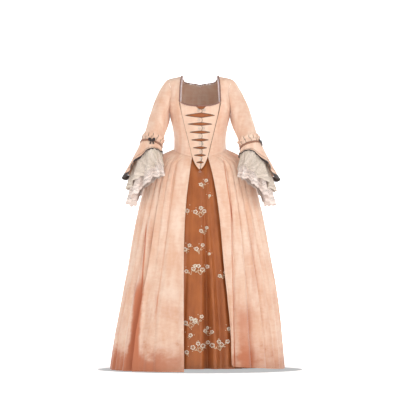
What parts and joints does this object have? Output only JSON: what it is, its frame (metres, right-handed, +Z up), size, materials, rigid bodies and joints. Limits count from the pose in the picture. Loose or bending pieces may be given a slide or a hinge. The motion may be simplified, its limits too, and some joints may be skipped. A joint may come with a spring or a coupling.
{
  "type": "robe a la francaise, worn form without its wearer",
  "caption": "Open sack-backed gown in pale silk over a rust petticoat, with a tabbed stomacher, elbow sleeves and lace ruffles",
  "frame": {"origin": "on top of the shoulders, midway between them, where the wearer holds the gown up", "axes": "+Z up, the front faces -Y, +X to the right of someone who looks at the front"},
  "size_m": [0.8618, 0.9453, 1.4365],
  "materials": {
    "robe_silk": "satin",
    "stomacher_silk": "satin",
    "petticoat_satin": "satin",
    "braid": "matte",
    "dark_ribbon": "matte",
    "lace": "matte",
    "neck_frill": "matte"
  },
  "bodies": {
    "root": {"bodice_front_left": "robe_silk", "bodice_front_right": "robe_silk", "bodice_back_left": "robe_silk", "bodice_back_right": "robe_silk", "robe_skirt_left": "robe_silk", "robe_skirt_right": "robe_silk", "sack_back_left": "robe_silk", "sack_back_right": "robe_silk", "sleeve_upper_left": "robe_silk", "sleeve_under_left": "robe_silk", "sleeve_upper_right": "robe_silk", "sleeve_under_right": "robe_silk", "cuff_heading_left": "robe_silk", "cuff_heading_right": "robe_silk", "silk_flounce_left": "robe_silk", "silk_flounce_right": "robe_silk", "stomacher_left": "stomacher_silk", "stomacher_right": "stomacher_silk", "stomacher_underlay": "petticoat_satin", "petticoat_front": "petticoat_satin", "petticoat_side_left": "petticoat_satin", "petticoat_side_right": "petticoat_satin", "petticoat_back_left": "petticoat_satin", "petticoat_back_right": "petticoat_satin", "cuff_braid_left": "braid", "cuff_braid_right": "braid", "neck_braid_front": "braid", "neck_braid_left": "braid", "neck_braid_right": "braid", "neck_braid_back": "braid", "pendant_loop": "braid", "flounce_ribbon_left": "dark_ribbon", "flounce_ribbon_right": "dark_ribbon", "cuff_bow_left": "dark_ribbon", "cuff_bow_right": "dark_ribbon", "lace_upper_left": "lace", "lace_upper_right": "lace", "lace_lower_left": "lace", "lace_lower_right": "lace", "neck_frill_left": "neck_frill", "neck_frill_right": "neck_frill"}
  },
  "joints": []
}
